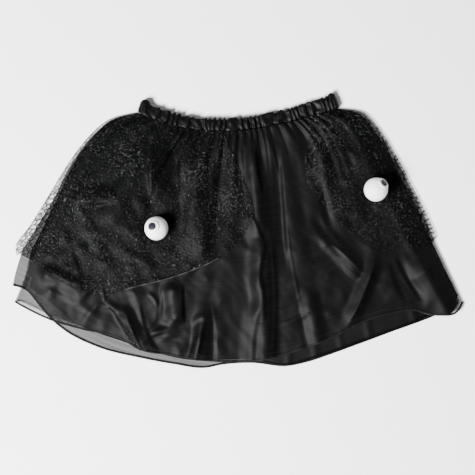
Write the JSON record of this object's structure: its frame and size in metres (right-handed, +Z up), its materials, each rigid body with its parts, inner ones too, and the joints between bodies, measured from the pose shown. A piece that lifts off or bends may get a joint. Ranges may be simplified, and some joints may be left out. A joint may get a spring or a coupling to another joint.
{
  "type": "tutu skirt",
  "caption": "Child's black tutu skirt laid flat: gathered waistband, satin lining under sheer organza, glitter net petals at the sides and ball eyes on them.",
  "frame": {"origin": "on the surface that the skirt lies on, under the middle of its bounding box", "axes": "+X to the right across the skirt as it is seen from above, +Y from the hem to the waist, +Z up from the surface"},
  "size_m": [0.5622, 0.3426, 0.0439],
  "materials": {
    "satin_band": "gathered satin, soft sheen",
    "lining_satin": "smooth satin",
    "organza": "sheer organza with a fine cross weave and a sheen",
    "glitter_net": "crackle net with silver glitter",
    "ball_foam": "matte white foam",
    "eye_plate": "smooth white plastic",
    "pupil": "dark blue-grey plastic",
    "eye_dome": "clear plastic"
  },
  "bodies": {
    "root": {"waistband": "satin_band", "lining_front": "lining_satin", "lining_back": "lining_satin", "organza_front": "organza", "organza_back": "organza", "net_petal_left": "glitter_net", "net_petal_right": "glitter_net", "ball_left": "ball_foam", "eye_plate_left": "eye_plate", "pupil_left": "pupil", "eye_dome_left": "eye_dome", "ball_right": "ball_foam", "eye_plate_right": "eye_plate", "pupil_right": "pupil", "eye_dome_right": "eye_dome"}
  },
  "joints": []
}
